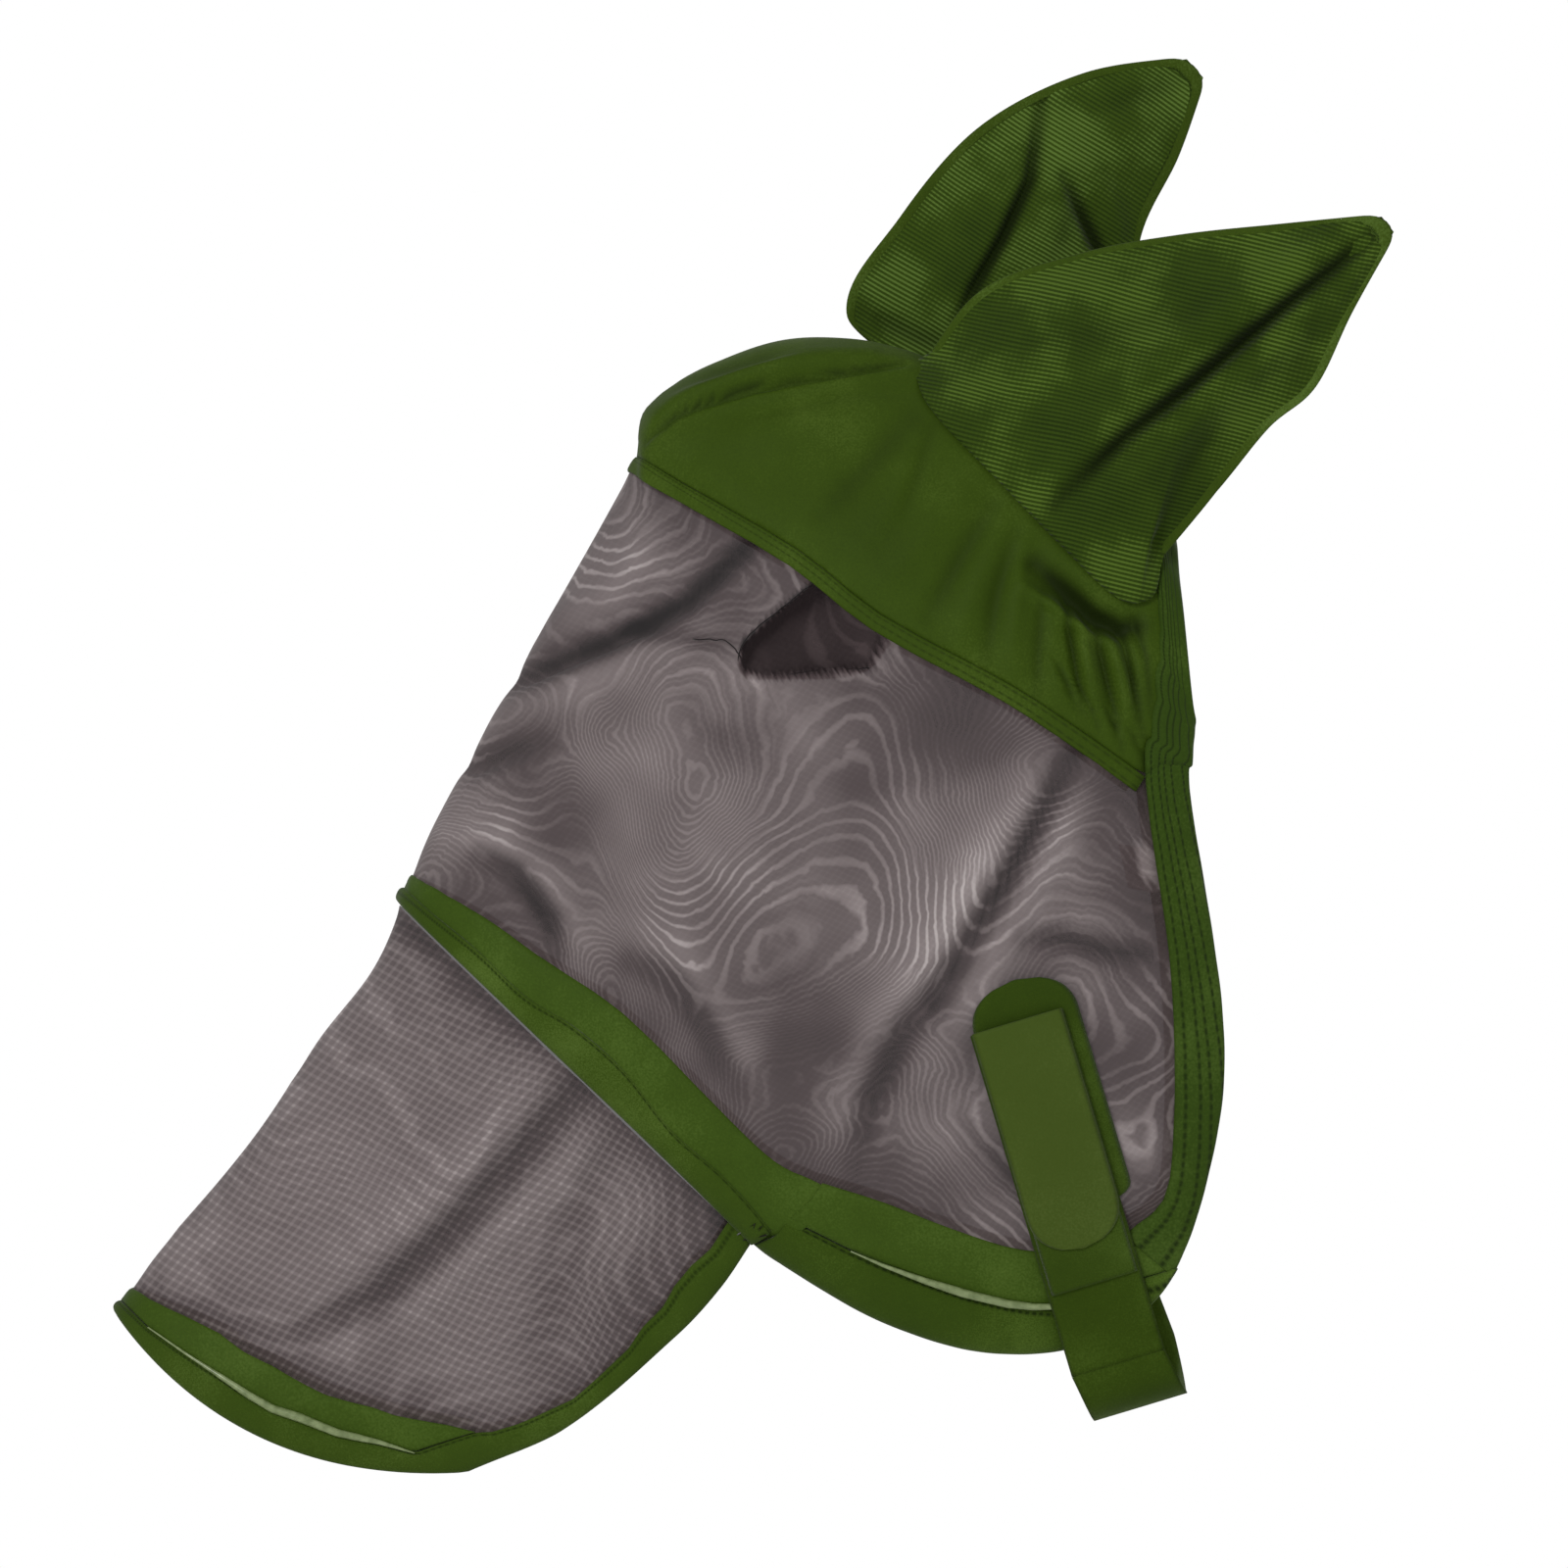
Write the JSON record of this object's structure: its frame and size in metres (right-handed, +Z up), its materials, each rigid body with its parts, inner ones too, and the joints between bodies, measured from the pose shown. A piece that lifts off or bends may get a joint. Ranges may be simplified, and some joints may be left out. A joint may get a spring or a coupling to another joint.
{
  "type": "horse fly mask",
  "caption": "Fine-mesh horse fly mask with knit ears, a mesh nose piece held by a hook-and-loop band and a hook-and-loop throat strap.",
  "frame": {"origin": "on the inside of the knit at the poll, on the midline, where the mask hangs on the horse's head", "axes": "-X towards the nose, +Z up towards the ear tips, -Y towards the near side, where the throat strap closes"},
  "size_m": [0.6709, 0.1984, 0.7466],
  "materials": {
    "mesh": "matte woven mesh",
    "knit": "smooth stretch knit",
    "binding": "stitched stretch binding",
    "plush": "short plush pile binding",
    "piping": "satin cord",
    "label": "printed woven tape, left blank",
    "loop_pile": "loop pile",
    "webbing": "brushed strap",
    "tab": "smooth moulded hook tab",
    "ear_knit": "ribbed knit"
  },
  "bodies": {
    "mask": {"face_mesh": "mesh", "eye_dart_near": "mesh", "eye_dart_far": "mesh", "poll_panel": "knit", "brow_hem": "knit", "crown_band": "binding", "rear_band_near": "binding", "rear_band_far": "binding", "jaw_band_near": "knit", "jaw_band_far": "knit", "jaw_binding_near": "plush", "jaw_binding_far": "plush", "jaw_piping_near": "piping", "jaw_piping_far": "piping", "nose_band": "knit", "care_label": "label", "cheek_pad": "loop_pile", "throat_strap_bow": "webbing", "far_anchor_patch": "webbing"},
    "nose_piece": {"nose_mesh": "mesh", "nose_top_band": "plush", "nose_hem_facing": "knit", "nose_hem_binding": "plush"},
    "strap_leg": {"strap_near_leg": "webbing", "strap_loop_patch": "loop_pile"},
    "strap_tab": {"strap_end_tab": "tab"},
    "near_ear": {"near_ear_outer_panel": "ear_knit", "near_ear_inner_panel": "ear_knit", "near_ear_hem": "ear_knit"},
    "far_ear": {"far_ear_outer_panel": "ear_knit", "far_ear_inner_panel": "ear_knit", "far_ear_hem": "ear_knit"}
  },
  "joints": [
    {"name": "nose_piece_off", "type": "slide", "parent": "mask", "child": "nose_piece", "axis": [-0.574, 0, -0.8189], "range_m": [0, 0.12]},
    {"name": "strap_leg_peel", "type": "hinge", "parent": "mask", "child": "strap_leg", "pos_m": [0.00397, -0.0633, -0.47159], "axis": [0.9577, 0, 0.2879], "range_deg": [0, 110]},
    {"name": "strap_tab_peel", "type": "hinge", "parent": "strap_leg", "child": "strap_tab", "pos_m": [-0.04959, -0.09856, -0.29263], "axis": [-0.9577, 0, -0.2879], "range_deg": [0, 160]},
    {"name": "near_ear_fold", "type": "hinge", "parent": "mask", "child": "near_ear", "pos_m": [-0.09294, -0.05798, 0.0236], "axis": [0.6213, -0.3412, -0.7054], "range_deg": [0, 20], "stiffness_Nm_per_rad": 0.4, "springref_deg": -11.46},
    {"name": "far_ear_fold", "type": "hinge", "parent": "mask", "child": "far_ear", "pos_m": [-0.09294, 0.05798, 0.0236], "axis": [-0.6213, -0.3412, 0.7054], "range_deg": [0, 20], "stiffness_Nm_per_rad": 0.4, "springref_deg": -11.46}
  ]
}
